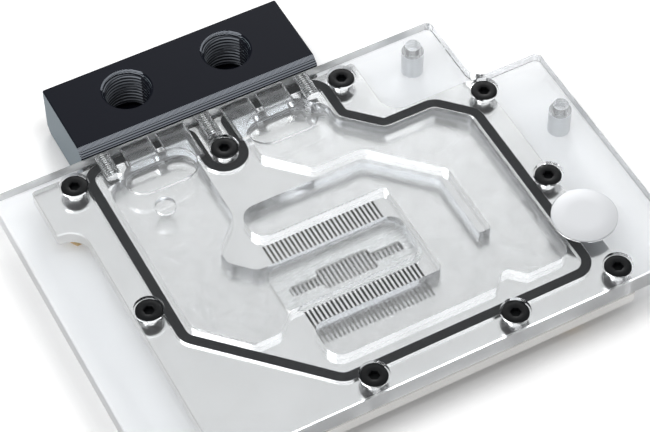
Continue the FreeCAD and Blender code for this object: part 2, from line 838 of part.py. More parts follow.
def jet_plate_sides(clearance):
    """Left, front, right and back of the jet plate, grown by a clearance."""
    lip = size.jet_plate_lip + clearance
    return (size.jet_plate_left_x - clearance, size.bar_front_y - lip,
            size.bar_right_x + lip, size.bar_back_y + lip)


def make_jet_plate():
    """Thin plate that feeds coolant to the middle of the fins through a stepped slot."""
    body = new_body("jet_plate")
    outline = new_sketch(body, "jet_plate_outline", "XY_Plane", base_top)
    draw_rectangle(outline, *jet_plate_sides(as_size(0)), size.wide_corner)
    half_slot = size.jet_slot_length / 2
    half_narrow = size.jet_slot_width / 2
    half_window = size.jet_window_length / 2
    half_wide = size.jet_window_width / 2
    turn = size.jet_round
    draw_outline(outline, [
        (-half_slot, -half_narrow, turn),
        (-half_window, -half_narrow, turn),
        (-half_window, -half_wide, turn),
        (half_window, -half_wide, turn),
        (half_window, -half_narrow, turn),
        (half_slot, -half_narrow, turn),
        (half_slot, half_narrow, turn),
        (half_window, half_narrow, turn),
        (half_window, half_wide, turn),
        (-half_window, half_wide, turn),
        (-half_window, half_narrow, turn),
        (-half_slot, half_narrow, turn),
    ])
    pad(body, "plate", outline, size.jet_plate_thickness)
    return body


def seal_edges(middle, clearance):
    """Outer and inner rectangles of a port seal, each with its corner radius."""
    edges = []
    for reach, radius in ((size.seal_land + size.seal_width + clearance, size.seal_width * 2),
                          (size.seal_land - clearance, size.seal_width)):
        edges.append((middle - passage_half - reach, passage_bottom - reach,
                      middle + passage_half + reach, passage_top + reach, radius))
    return edges


def make_port_seal(name, middle):
    """Flat rubber ring round a port passage, in its groove in the terminal block."""
    body = new_body(name)
    sketch = new_sketch(body, f"{name}_outline", "XZ_Plane", -block_near_y)
    for edge in seal_edges(middle, as_size(0)):
        draw_rectangle(sketch, *edge)
    ring = pad(body, f"{name}_ring", sketch, size.seal_depth)
    ring.Reversed = True
    return body


def terminal_section():
    """Section of the terminal block across its length, as (y, z) corners."""
    near = block_near_y
    far = block_far_y
    foot = size.terminal_foot_chamfer
    edge = size.terminal_edge
    return [
        (near, board + foot, edge),
        (near + foot, board, edge),
        (far - foot, board, edge),
        (far, board + foot, edge),
        (far, terminal_top, edge),
        (near + size.terminal_bevel_depth, terminal_top, edge),
        (near, terminal_top - size.terminal_bevel_height, edge),
    ]


def make_terminal_block():
    """Black block with two threaded ports on top and passages through its near face."""
    body = new_body("terminal_block")
    left = size.middle_line_x - size.terminal_length / 2
    section = new_sketch(body, "terminal_section", "YZ_Plane", left)
    draw_outline(section, terminal_section())
    block = pad(body, "block", section, size.terminal_length)
    chamfer_faces(body, "block_ends", block, Vector(1, 0, 0), size.edge_break)

    port_y = size.mating_y + size.port_from_mating
    bores = new_sketch(body, "port_outlines", "XY_Plane", terminal_top)
    for x in port_places:
        draw_circle(bores, x, port_y, size.port_diameter)
    pocket(body, "port_bores", bores, size.port_depth)
    mouth = (size.port_mouth - size.port_diameter) / 2
    for side, x in zip(("left", "right"), port_places):
        cone_cut(body, f"{side}_port_mouth", x, port_y, terminal_top - mouth,
                 size.port_diameter / 2, size.port_mouth / 2, mouth)

    passages = new_sketch(body, "port_passage_outlines", "XZ_Plane", -block_near_y)
    draw_passages(passages)
    pocket(body, "port_passages", passages, size.port_from_mating)
    grooves = new_sketch(body, "seal_groove_outlines", "XZ_Plane", -block_near_y)
    for x in port_places:
        for edge in seal_edges(x, size.groove_clearance):
            draw_rectangle(grooves, *edge)
    pocket(body, "seal_grooves", grooves, size.seal_depth)

    shanks = new_sketch(body, "terminal_shank_outlines", "XZ_Plane", -block_far_y)
    heads = new_sketch(body, "terminal_head_outlines", "XZ_Plane", -block_far_y)
    for x in terminal_screw_places:
        draw_circle(shanks, x, terminal_screw_z, shank_hole)
        draw_circle(heads, x, terminal_screw_z, size.cap_head_diameter + size.counterbore_clearance * 2)
    pocket(body, "terminal_shank_holes", shanks, size.terminal_depth, along_normal=True)
    pocket(body, "terminal_counterbores", heads, size.cap_head_height + size.cap_head_sink,
           along_normal=True)
    return body


def add_socket(body, name, offset):
    """Hexagon socket in the top of a screw head."""
    socket = new_sketch(body, f"{name}_socket_outline", "XY_Plane", offset)
    draw_hexagon(socket, size.socket_width)
    pocket(body, f"{name}_socket", socket, size.socket_depth)


def revolve(body, name, sketch):
    feature = body.newObject("PartDesign::Revolution", name)
    feature.Profile = sketch
    feature.ReferenceAxis = (sketch, ["V_Axis"])
    feature.Angle = 360
    return feature


def draw_polygon(sketch, corners):
    """A closed outline with sharp corners, each (x, y)."""
    corners = [(as_size(x), as_size(y)) for x, y in corners]
    points = [Vector(x.value, y.value, 0) for x, y in corners]
    count = len(points)
    sketch.addGeometry([Part.LineSegment(points[i], points[(i + 1) % count]) for i in range(count)], False)
    for index in range(count):
        sketch.addConstraint(Sketcher.Constraint("Coincident", index, 2, (index + 1) % count, 1))
    entries = []
    for index, (x, y) in enumerate(corners):
        entries += place_point(sketch, index, x, y)
    bound_constraints(sketch, entries)


def make_cover_screw(name, x, y):
    """Countersunk screw standing with the top of its head at its own zero."""
    body = new_body(name)
    profile = new_sketch(body, f"{name}_profile", "XZ_Plane", 0)
    head = size.head_diameter / 2
    shank = size.screw_diameter / 2
    cone_foot = -(size.head_rim + head - shank)
    draw_polygon(profile, [
        (0, 0),
        (0, -size.cover_screw_length),
        (shank, -size.cover_screw_length),
        (shank, cone_foot),
        (head, -size.head_rim),
        (head, -size.head_edge),
        (head - size.head_edge, 0),
    ])
    revolve(body, f"{name}_turned", profile)
    add_socket(body, name, as_size(0))
    put(body, x, y, cover_top - size.head_sink)
    return body


def make_terminal_screw(name, x):
    """Cap screw that lies along Y, its head sunk in the far side of the terminal block."""
    body = new_body(name)
    profile = new_sketch(body, f"{name}_profile", "XZ_Plane", 0)
    head = size.cap_head_diameter / 2
    shank = size.screw_diameter / 2
    seat = size.cap_head_height
    length = size.terminal_depth - size.cap_head_sink + size.terminal_screw_reach
    draw_polygon(profile, [
        (0, 0),
        (0, -length),
        (shank, -length),
        (shank, -seat),
        (head, -seat),
        (head, -size.head_edge),
        (head - size.head_edge, 0),
    ])
    revolve(body, f"{name}_turned", profile)
    add_socket(body, name, as_size(0))
    body.Placement.Rotation = FreeCAD.Rotation(Vector(1, 0, 0), -90)
    put(body, x, block_far_y - size.cap_head_sink, terminal_screw_z)
    return body


def make_badge():
    """Plain round plate let into the top of the cover."""
    body = new_body("badge")
    floor = cover_top - size.badge_seat + size.joint_gap
    outline = new_sketch(body, "badge_outline", "XY_Plane", floor)
    draw_circle(outline, size.badge_x, size.badge_y, size.badge_diameter)
    disc = pad(body, "badge_disc", outline, size.badge_thickness)
    chamfer_faces(body, "badge_rim", disc, Vector(0, 0, 1), size.badge_edge, one_side=True)
    return body


def make_standoff(name, x, y):
    """Hexagonal brass standoff with a stud into the base plate and a bore for the board's screw."""
    body = new_body(name)
    outline = new_sketch(body, f"{name}_hexagon", "XY_Plane", 0)
    draw_hexagon(outline, size.standoff_width)
    pad(body, f"{name}_column", outline, base_bottom - board)
    stud = new_sketch(body, f"{name}_stud_outline", "XY_Plane", 0)
    draw_circle(stud, 0, 0, size.standoff_stud)
    pad(body, f"{name}_stud", stud, base_bottom - board + size.standoff_stud_length)
    bore = new_sketch(body, f"{name}_bore_outline", "XY_Plane", 0)
    draw_circle(bore, 0, 0, size.standoff_bore)
    pocket(body, f"{name}_bore", bore, base_bottom - board, along_normal=True)
    put(body, x, y, board)
    return body


def make_parts():
    path = make_gasket_path()
    parts = [make_base_plate(), make_cover_plate(path)]
    parts.append(gasket_band("main_gasket", path, as_size(0), size.gasket_depth))
    parts.append(make_jet_plate())
    parts.append(make_terminal_block())
    for side, x in zip(("left", "right"), port_places):
        parts.append(make_port_seal(f"port_seal_{side}", x))
    for number, (x, y) in enumerate(cover_screws, start=1):
        parts.append(make_cover_screw(f"cover_screw_{number}", x, y))
    for number, x in enumerate(terminal_screw_places, start=1):
        parts.append(make_terminal_screw(f"terminal_screw_{number}", x))
    parts.append(make_badge())
    for number, (x, y) in enumerate(standoff_places, start=1):
        parts.append(make_standoff(f"standoff_{number}", x, y))
    return parts


def check_document(parts):
    """Stop if any object failed or any sub-part is not one sound solid."""
    document.recompute()
    for item in document.Objects:
        if "Invalid" in item.State or "Error" in item.State:
            raise RuntimeError(f"{item.Label} failed: {item.State}")
    for part in parts:
        if part.Shape.isNull() or not part.Shape.isValid():
            raise RuntimeError(f"{part.Label} has no valid shape")
        if len(part.Shape.Solids) != 1:
            raise RuntimeError(f"{part.Label} is {len(part.Shape.Solids)} solids")


def write_parts(parts):
    os.makedirs("parts", exist_ok=True)
    for part in parts:
        part.Shape.exportStep(f"parts/{part.Label}.step")
        print(part.Label, round(part.Shape.Volume, 2), len(part.Shape.Faces))


finished = make_parts()
check_document(finished)
write_parts(finished)
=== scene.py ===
import json
import math

import bmesh
import bpy
from mathutils import Matrix, Vector


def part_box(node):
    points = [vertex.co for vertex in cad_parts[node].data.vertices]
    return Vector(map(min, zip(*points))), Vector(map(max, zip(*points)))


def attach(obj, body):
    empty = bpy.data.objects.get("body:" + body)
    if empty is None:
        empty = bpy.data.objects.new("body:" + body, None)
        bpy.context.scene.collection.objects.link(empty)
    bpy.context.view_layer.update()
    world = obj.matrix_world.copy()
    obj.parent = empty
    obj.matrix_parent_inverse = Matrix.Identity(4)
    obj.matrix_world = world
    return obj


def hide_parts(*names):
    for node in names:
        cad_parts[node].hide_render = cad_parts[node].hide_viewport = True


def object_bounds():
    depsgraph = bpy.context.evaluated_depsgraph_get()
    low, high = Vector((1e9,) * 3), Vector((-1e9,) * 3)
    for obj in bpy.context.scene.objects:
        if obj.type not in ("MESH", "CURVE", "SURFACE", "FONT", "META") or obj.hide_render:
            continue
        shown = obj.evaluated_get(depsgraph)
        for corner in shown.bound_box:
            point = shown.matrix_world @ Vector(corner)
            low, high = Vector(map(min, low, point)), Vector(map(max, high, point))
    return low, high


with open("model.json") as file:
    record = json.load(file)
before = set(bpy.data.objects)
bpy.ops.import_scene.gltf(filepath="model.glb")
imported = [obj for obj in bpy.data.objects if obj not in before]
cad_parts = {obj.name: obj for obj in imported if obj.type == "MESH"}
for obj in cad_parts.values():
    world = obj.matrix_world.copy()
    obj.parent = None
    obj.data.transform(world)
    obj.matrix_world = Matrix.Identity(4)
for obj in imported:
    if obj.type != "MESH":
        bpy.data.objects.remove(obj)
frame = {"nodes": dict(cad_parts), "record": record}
cad_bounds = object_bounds()

MM = 0.001

# Sizes in millimetres. A thread's crest and root are radii.
PORT_THREAD = {"pitch": 1.337, "crest": 5.9, "root": 6.56}      # G1/4, cut into the terminal block
M4_THREAD = {"pitch": 0.7, "crest": 1.98, "root": 1.56}
PORT_THREAD_TOP = 0.45                          # below the top of the terminal block
PORT_THREAD_BOTTOM = 13.2
SOCKET_WIDTH = 2.5
SOCKET_DEPTH = 1.4
COUNTERSUNK_RIM = 0.5                           # upright rim of a countersunk head
CAP_HEAD_HEIGHT = 4.0
EDGE_BREAK = 0.12
BOSS_PLACES = ((50.1, 55.4), (74.2, 18.8))      # bosses under the cover's overhang
COVER_STEP = (58.0, 36.8)                       # inner corner of the step in the cover's outline
ROUND_STEPS = 48
SMOOTH_ANGLE = 35                               # sharper edges stay creased, in degrees

# The photograph's view: its width and its focal length in pixels.
PHOTO_WIDTH = 650
PHOTO_FOCAL_LENGTH = 2379
SENSOR_WIDTH = 36.0


def node_box(name):
    """Lowest and highest corner of a CAD node, in millimetres."""
    low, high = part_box(name)
    return low / MM, high / MM


base_low, base_high = node_box("base_plate")
cover_low, cover_high = node_box("cover_plate")
block_low, block_high = node_box("terminal_block")
joint_gap = block_low.y - cover_high.y          # between faces that are clamped together


def linear(hex_colour):
    """The linear colour for an sRGB hex value."""
    channels = []
    for start in (0, 2, 4):
        share = int(hex_colour[start:start + 2], 16) / 255
        channels.append(share / 12.92 if share <= 0.04045 else ((share + 0.055) / 1.055) ** 2.4)
    return (*channels, 1.0)


def add_node(tree, kind, inputs=None, **settings):
    """Add one node. Each input takes a value, or another node's output as a link."""
    made = tree.nodes.new(kind)
    for name, value in settings.items():
        setattr(made, name, value)
    for socket, value in (inputs or {}).items():
        if isinstance(value, bpy.types.NodeSocket):
            tree.links.new(value, made.inputs[socket])
        else:
            made.inputs[socket].default_value = value
    return made


def new_material(name):
    """A material with an empty node tree, its principled shader and its output."""
    material = bpy.data.materials.new(name)
    material.use_nodes = True
    tree = material.node_tree
    tree.nodes.clear()
    shader = add_node(tree, "ShaderNodeBsdfPrincipled")
    add_node(tree, "ShaderNodeOutputMaterial", {"Surface": shader.outputs[0]})
    place = add_node(tree, "ShaderNodeTexCoord").outputs["Object"]
    return material, tree, shader, place


def set_inputs(tree, shader, **inputs):
    """Set the shader's inputs, by their names with underscores for spaces."""
    for name, value in inputs.items():
        socket = shader.inputs[name.replace("_", " ")]
        if isinstance(value, bpy.types.NodeSocket):
            tree.links.new(value, socket)
        else:
            socket.default_value = value


def per_mm(length):
    """Noise scale at which one unit of pattern is that many millimetres."""
    return 1 / (length * MM)


def wave_every(length):
    """Wave scale at which bands or rings come that many millimetres apart."""
    return math.tau / 20 / (length * MM)


def nickel_plate():
    """Satin nickel over milled copper: a bright warm grey mirror, blurred by the lapping,
    with faint straight lapping lines and slow changes in gloss."""
    material, tree, shader, place = new_material("satin_nickel_on_copper")
    cloud = add_node(tree, "ShaderNodeTexNoise", {"Vector": place, "Scale": per_mm(9), "Detail": 3.0})
    # Lapping lines are about 0.02 mm apart and are drawn 0.25 mm apart so that they show.
    stretch = add_node(tree, "ShaderNodeMapping", {"Vector": place, "Scale": (0.02, 1.0, 1.0)})
    lines = add_node(tree, "ShaderNodeTexNoise",
                     {"Vector": stretch.outputs[0], "Scale": per_mm(0.5), "Detail": 4.0})
    gloss = add_node(tree, "ShaderNodeMapRange",
                     {"Value": cloud.outputs["Fac"], "From Min": 0.3, "From Max": 0.7,
                      "To Min": 0.16, "To Max": 0.26})
    tone = add_node(tree, "ShaderNodeMix",
                    {"Factor": cloud.outputs["Fac"], "A": linear("e6e5e3"), "B": linear("dad9d7")},
                    data_type="RGBA")
    bump = add_node(tree, "ShaderNodeBump",
                    {"Height": lines.outputs["Fac"], "Strength": 0.12, "Distance": 0.02 * MM})
    set_inputs(tree, shader, Base_Color=tone.outputs["Result"], Metallic=1.0,
               Roughness=gloss.outputs["Result"], Normal=bump.outputs[0])
    return material


def inside_zone(tree, split, **zone):
    """One inside a zone, which has its middle and its reach to either side for each axis that
    bounds it, in millimetres."""
    mask = 1.0
    for axis, (middle, reach) in zone.items():
        near = add_node(tree, "ShaderNodeMath",
                        {0: split.outputs[axis], 1: middle * MM, 2: reach * MM}, operation="COMPARE")
        mask = add_node(tree, "ShaderNodeMath", {0: near.outputs[0], 1: mask},
                        operation="MULTIPLY").outputs[0]
    return mask


def strongest(tree, layers):
    """The greatest of several masks, each times an amount."""
    greatest = 0.0
    for mask, amount in layers:
        share = add_node(tree, "ShaderNodeMath", {0: mask, 1: amount}, operation="MULTIPLY")
        greatest = add_node(tree, "ShaderNodeMath", {0: share.outputs[0], 1: greatest},
                            operation="MAXIMUM").outputs[0]
    return greatest


def distance_beyond(tree, place, low, high):
    """How far a place lies outside an upright rectangle, whose corners are in millimetres."""
    middle = (low + high) / 2 * MM
    half = (high - low) / 2 * MM
    aside = add_node(tree, "ShaderNodeVectorMath", {0: place, 1: (middle.x, middle.y, 0)},
                     operation="SUBTRACT")
    aside = add_node(tree, "ShaderNodeVectorMath", {0: aside.outputs[0]}, operation="ABSOLUTE")
    aside = add_node(tree, "ShaderNodeVectorMath", {0: aside.outputs[0], 1: (half.x, half.y, 0)},
                     operation="SUBTRACT")
    aside = add_node(tree, "ShaderNodeVectorMath", {0: aside.outputs[0], 1: (0, 0, 0)},
                     operation="MAXIMUM")
    aside = add_node(tree, "ShaderNodeVectorMath", {0: aside.outputs[0], 1: (1, 1, 0)},
                     operation="MULTIPLY")
    length = add_node(tree, "ShaderNodeVectorMath", {0: aside.outputs[0]}, operation="LENGTH")
    return length.outputs["Value"]


def tapped_hole_ridges(tree, place, split):
    """Height of the thread ridges on the walls of the holes tapped in the acrylic."""
    hole_reach = 2.4            # to each side of a hole's centre line
    hole_depth = 8.2            # from the cover's back edge
    boss_reach = 2.5
    along, down = (
        add_node(tree, "ShaderNodeTexWave", {"Vector": place, "Scale": wave_every(M4_THREAD["pitch"])},
                 wave_type="BANDS", bands_direction=direction)
        for direction in ("Y", "Z"))
    layers = []
    for number in range(1, 4):
        low, high = node_box(f"terminal_screw_{number}")
        middle = (low + high) / 2
        hole = inside_zone(tree, split, X=(middle.x, hole_reach), Y=(cover_high.y, hole_depth),
                           Z=(middle.z, hole_reach))
        layers.append((hole, along.outputs["Fac"]))
    plan = add_node(tree, "ShaderNodeCombineXYZ", {"X": split.outputs["X"], "Y": split.outputs["Y"]})
    for x, y in BOSS_PLACES:
        aside = add_node(tree, "ShaderNodeVectorMath", {0: plan.outputs[0], 1: (x * MM, y * MM, 0)},
                         operation="DISTANCE")
        hole = add_node(tree, "ShaderNodeMath", {0: aside.outputs["Value"], 1: boss_reach * MM},
                        operation="LESS_THAN")
        layers.append((hole.outputs[0], down.outputs["Fac"]))
    return strongest(tree, layers)


def clear_acrylic():
    """Cast acrylic: polished above and below, so clear with bright edges. The cutter leaves the
    channel floors, the rim and the bosses faintly frosted, with curved tool marks."""
    material, tree, shader, place = new_material("cast_acrylic")
    split = add_node(tree, "ShaderNodeSeparateXYZ", {"Vector": place})
    # The channels lie between the solid acrylic at the top and the polished underside.
    channel_top = cover_high.z - 1.5
    channel_bottom = base_high.z + 0.3
    between = inside_zone(tree, split, Z=((channel_top + channel_bottom) / 2,
                                          (channel_top - channel_bottom) / 2))
    facing = add_node(tree, "ShaderNodeNewGeometry")
    tilt = add_node(tree, "ShaderNodeSeparateXYZ", {"Vector": facing.outputs["True Normal"]})
    level = add_node(tree, "ShaderNodeMath", {0: tilt.outputs["Z"]}, operation="ABSOLUTE")
    ceiling = add_node(tree, "ShaderNodeMath",
                       {0: level.outputs[0], 1: 0.9}, operation="GREATER_THAN")
    milled = add_node(tree, "ShaderNodeMath",
                      {0: between, 1: ceiling.outputs[0]}, operation="MULTIPLY")
    walls = add_node(tree, "ShaderNodeMath",
                     {0: between, 1: milled.outputs[0]}, operation="SUBTRACT")
    # Tool marks 1.2 mm apart, in wide arcs as the cutter sweeps.
    marks = add_node(tree, "ShaderNodeTexWave",
                     {"Vector": place, "Scale": wave_every(1.2), "Distortion": 3.0,
                      "Detail": 1.0, "Detail Scale": 0.4},
                     wave_type="RINGS", rings_direction="Z")
    grain = add_node(tree, "ShaderNodeTexNoise", {"Vector": place, "Scale": per_mm(0.5), "Detail": 2.0})
    height = add_node(tree, "ShaderNodeMix",
                      {"Factor": 0.35, "A": marks.outputs["Fac"], "B": grain.outputs["Fac"]})
    depth = add_node(tree, "ShaderNodeMath",
                     {0: milled.outputs[0], 1: height.outputs["Result"]}, operation="MULTIPLY")
    bump = add_node(tree, "ShaderNodeBump",
                    {"Height": depth.outputs[0], "Strength": 0.12, "Distance": 0.05 * MM})
    threads = add_node(tree, "ShaderNodeBump",
                       {"Height": tapped_hole_ridges(tree, place, split), "Strength": 0.7,
                        "Distance": 0.25 * MM, "Normal": bump.outputs[0]})
    # The rim is milled and not polished, and so are the bosses below the cover. Its bevels
    # have the frost alone, and its flat sides the haze too.
    rim, flat_rim = (
        add_node(tree, "ShaderNodeMath",
                 {0: distance_beyond(tree, place, cover_low + inset, cover_high - inset), 1: 0.0},
                 operation="GREATER_THAN").outputs[0]
        for inset in (Vector((0.35, 0.35, 0)), Vector((0.03, 0.03, 0))))
    boss = add_node(tree, "ShaderNodeMath",
                    {0: split.outputs["Z"], 1: (base_high.z - 0.2) * MM}, operation="LESS_THAN")
    frost = strongest(tree, ((milled.outputs[0], 0.26), (walls.outputs[0], 0.06), (rim, 0.35),
                             (boss.outputs[0], 0.3)))
    swirl = add_node(tree, "ShaderNodeTexNoise",
                     {"Vector": place, "Scale": per_mm(9), "Detail": 2.0, "Distortion": 2.5})
    cloud = add_node(tree, "ShaderNodeMapRange",
                     {"Value": swirl.outputs["Fac"], "From Min": 0.35, "From Max": 0.65,
                      "To Min": 0.0, "To Max": 0.11})
    haze = strongest(tree, ((milled.outputs[0], cloud.outputs["Result"]), (walls.outputs[0], 0.12),
                            (flat_rim, 0.45)))
    clarity = add_node(tree, "ShaderNodeMath", {0: 1.0, 1: haze}, operation="SUBTRACT")
    set_inputs(tree, shader, Base_Color=linear("fbfdff"), Transmission_Weight=clarity.outputs[0],
               IOR=1.49, Roughness=frost, Normal=threads.outputs[0])
    return material


def black_acetal():
    """Machined acetal: blue black, matte, with fine feed lines, and a hatch of cutter marks on the bevel
    along the near top edge. The marks are bumps, and their pale tone is a painted highlight."""
    material, tree, shader, place = new_material("machined_acetal")
    stretch = add_node(tree, "ShaderNodeMapping", {"Vector": place, "Scale": (0.03, 1.0, 1.0)})
    feed = add_node(tree, "ShaderNodeTexNoise",
                    {"Vector": stretch.outputs[0], "Scale": per_mm(0.45), "Detail": 5.0})
    grain = add_node(tree, "ShaderNodeTexNoise", {"Vector": place, "Scale": per_mm(0.35), "Detail": 2.0})
    # Slanted marks come every 0.55 mm along the upper half of the bevel, lines along the lower.
    slanted = add_node(tree, "ShaderNodeTexWave",
                       {"Vector": place, "Scale": wave_every(0.55) * 2, "Distortion": 0.6, "Detail": 1.0},
                       wave_type="BANDS", bands_direction="DIAGONAL")
    lines = add_node(tree, "ShaderNodeTexWave",
                     {"Vector": place, "Scale": wave_every(0.42)}, wave_type="BANDS", bands_direction="Z")
    level = add_node(tree, "ShaderNodeSeparateXYZ", {"Vector": place})
    upper = add_node(tree, "ShaderNodeMath",
                     {0: level.outputs["Z"], 1: (block_high.z - 0.8) * MM}, operation="GREATER_THAN")
    fine = add_node(tree, "ShaderNodeMath", {0: lines.outputs["Fac"], 1: 0.6}, operation="MULTIPLY")
    hatch = add_node(tree, "ShaderNodeMix",
                     {"Factor": upper.outputs[0], "A": fine.outputs[0], "B": slanted.outputs["Fac"]})
    facing = add_node(tree, "ShaderNodeNewGeometry")
    tilt = add_node(tree, "ShaderNodeSeparateXYZ", {"Vector": facing.outputs["True Normal"]})
    lift = add_node(tree, "ShaderNodeMath", {0: tilt.outputs["Z"], 1: 0.3}, operation="GREATER_THAN")
    lean = add_node(tree, "ShaderNodeMath", {0: tilt.outputs["Y"], 1: -0.3}, operation="LESS_THAN")
    bevel = add_node(tree, "ShaderNodeMath",
                     {0: lift.outputs[0], 1: lean.outputs[0]}, operation="MULTIPLY")
    marks_and_painted_glint = add_node(tree, "ShaderNodeMath",
                      {0: bevel.outputs[0], 1: hatch.outputs["Result"]}, operation="MULTIPLY")
    # The end faces are painted paler than the faces milled along the block: a painted reflection of the
    # bright surroundings at a glancing angle.
    sideways = add_node(tree, "ShaderNodeMath", {0: tilt.outputs["X"]}, operation="ABSOLUTE")
    painted_end_sheen = add_node(tree, "ShaderNodeMath", {0: sideways.outputs[0], 1: 0.9}, operation="GREATER_THAN")
    tone_with_painted_end_sheen = add_node(tree, "ShaderNodeMix",
                         {"Factor": painted_end_sheen.outputs[0], "A": linear("12151f"), "B": linear("838e95")},
                         data_type="RGBA")
    # The bevel marks go pale here: a painted highlight of their glints, on top of their real bumps.
    tone = add_node(tree, "ShaderNodeMix",
                    {"Factor": marks_and_painted_glint.outputs[0], "A": tone_with_painted_end_sheen.outputs["Result"],
                     "B": linear("c3cad4")},
                    data_type="RGBA")
    height = add_node(tree, "ShaderNodeMath",
                      {0: feed.outputs["Fac"], 1: marks_and_painted_glint.outputs[0]}, operation="ADD")
    bump = add_node(tree, "ShaderNodeBump",
                    {"Height": height.outputs[0], "Strength": 0.2, "Distance": 0.03 * MM})
    gloss = add_node(tree, "ShaderNodeMapRange",
                     {"Value": grain.outputs["Fac"], "To Min": 0.4, "To Max": 0.5})
    set_inputs(tree, shader, Base_Color=tone.outputs["Result"], IOR=1.48,
               Roughness=gloss.outputs["Result"], Normal=bump.outputs[0], Specular_IOR_Level=0.08)
    return material


def nitrile_rubber():
    """Moulded nitrile rubber: blue black and dull, with a fine dusty grain."""
    material, tree, shader, place = new_material("nitrile_rubber")
    grain = add_node(tree, "ShaderNodeTexNoise", {"Vector": place, "Scale": per_mm(0.4), "Detail": 3.0})
    tone = add_node(tree, "ShaderNodeMix",
                    {"Factor": grain.outputs["Fac"], "A": linear("0c0f13"), "B": linear("181c21")},
                    data_type="RGBA")
    bump = add_node(tree, "ShaderNodeBump",
                    {"Height": grain.outputs["Fac"], "Strength": 0.3, "Distance": 0.03 * MM})
    set_inputs(tree, shader, Base_Color=tone.outputs["Result"], IOR=1.52, Roughness=0.55,
               Normal=bump.outputs[0], Specular_IOR_Level=0.25)
    return material


def black_zinc():
    """Black zinc on cold formed steel: near black with a faint sheen that breaks up in grains."""
    material, tree, shader, place = new_material("black_zinc_steel")
    grain = add_node(tree, "ShaderNodeTexNoise", {"Vector": place, "Scale": per_mm(0.3), "Detail": 4.0})
    tone = add_node(tree, "ShaderNodeMix",
                    {"Factor": grain.outputs["Fac"], "A": linear("08090b"), "B": linear("131517")},
                    data_type="RGBA")
    gloss = add_node(tree, "ShaderNodeMapRange",
                     {"Value": grain.outputs["Fac"], "To Min": 0.28, "To Max": 0.48})
    bump = add_node(tree, "ShaderNodeBump",
                    {"Height": grain.outputs["Fac"], "Strength": 0.25, "Distance": 0.03 * MM})
    set_inputs(tree, shader, Base_Color=tone.outputs["Result"], IOR=1.5,
               Roughness=gloss.outputs["Result"], Normal=bump.outputs[0], Specular_IOR_Level=0.15)
    return material


def stainless_steel():
    """Rolled and turned stainless steel: cool bright grey with fine lines."""
    material, tree, shader, place = new_material("stainless_steel")
    stretch = add_node(tree, "ShaderNodeMapping", {"Vector": place, "Scale": (0.03, 1.0, 1.0)})
    lines = add_node(tree, "ShaderNodeTexNoise",
                     {"Vector": stretch.outputs[0], "Scale": per_mm(0.3), "Detail": 4.0})
    gloss = add_node(tree, "ShaderNodeMapRange",
                     {"Value": lines.outputs["Fac"], "To Min": 0.2, "To Max": 0.36})
    bump = add_node(tree, "ShaderNodeBump",
                    {"Height": lines.outputs["Fac"], "Strength": 0.1, "Distance": 0.02 * MM})
    set_inputs(tree, shader, Base_Color=linear("dcdcda"), Metallic=1.0,
               Roughness=gloss.outputs["Result"], Normal=bump.outputs[0])
    return material


def pale_aluminium():
    """Clear anodised aluminium, turned: pale silver with fine rings about the badge's centre."""
    material, tree, shader, place = new_material("anodised_aluminium")
    low, high = node_box("badge")
    middle = (low + high) / 2 * MM
    centred = add_node(tree, "ShaderNodeMapping", {"Vector": place, "Location": -middle})
    rings = add_node(tree, "ShaderNodeTexWave",
                     {"Vector": centred.outputs[0], "Scale": wave_every(0.35), "Distortion": 0.4},
                     wave_type="RINGS", rings_direction="Z")
    gloss = add_node(tree, "ShaderNodeMapRange",
                     {"Value": rings.outputs["Fac"], "To Min": 0.45, "To Max": 0.55})
    bump = add_node(tree, "ShaderNodeBump",
                    {"Height": rings.outputs["Fac"], "Strength": 0.08, "Distance": 0.02 * MM})
    set_inputs(tree, shader, Base_Color=linear("dddfe2"), Metallic=0.25,
               Roughness=gloss.outputs["Result"], Normal=bump.outputs[0])
    return material


def turned_brass():
    """Turned brass: warm yellow metal with fine rings and slightly dulled patches."""
    material, tree, shader, place = new_material("turned_brass")
    stretch = add_node(tree, "ShaderNodeMapping", {"Vector": place, "Scale": (0.05, 0.05, 1.0)})
    rings = add_node(tree, "ShaderNodeTexNoise",
                     {"Vector": stretch.outputs[0], "Scale": per_mm(0.25), "Detail": 3.0})
    tone = add_node(tree, "ShaderNodeMix",
                    {"Factor": rings.outputs["Fac"], "A": linear("d9b878"), "B": linear("c6a25e")},
                    data_type="RGBA")
    bump = add_node(tree, "ShaderNodeBump",
                    {"Height": rings.outputs["Fac"], "Strength": 0.15, "Distance": 0.02 * MM})
    set_inputs(tree, shader, Base_Color=tone.outputs["Result"], Metallic=1.0, Roughness=0.3,
               Normal=bump.outputs[0])
    return material


MATERIALS = {
    "nickel": nickel_plate(),
    "acrylic": clear_acrylic(),
    "black_acetal": black_acetal(),
    "rubber": nitrile_rubber(),
    "black_steel": black_zinc(),
    "steel": stainless_steel(),
    "badge_silver": pale_aluminium(),
    "brass": turned_brass(),
}


def dress_cad_nodes():
    """Give every CAD node the material of its slot."""
    for part in frame["record"]["subparts"]:
        shown = frame["nodes"][part["node"]]
        shown.data.materials.clear()
        shown.data.materials.append(MATERIALS[part["material_slot"]])


def piece_from_rings(name, rings, slot_name, close_ends=True):
    """One piece: a skin through rings of points in millimetres, with its ends closed or open."""
    mesh = bmesh.new()
    rows = [[mesh.verts.new(Vector(point) * MM) for point in ring] for ring in rings]
    for row, following in zip(rows, rows[1:]):
        count = len(row)
        for index in range(count):
            after = (index + 1) % count
            mesh.faces.new((row[index], row[after], following[after], following[index]))
    if close_ends:
        mesh.faces.new(list(reversed(rows[0])))
        mesh.faces.new(rows[-1])
    bmesh.ops.recalc_face_normals(mesh, faces=mesh.faces)
    data = bpy.data.meshes.new(name)
    mesh.to_mesh(data)
    mesh.free()
    data.materials.append(MATERIALS[slot_name])
    piece = bpy.data.objects.new(name, data)
    bpy.context.scene.collection.objects.link(piece)
    data.shade_smooth()
    data.set_sharp_from_angle(angle=math.radians(SMOOTH_ANGLE))
    return piece


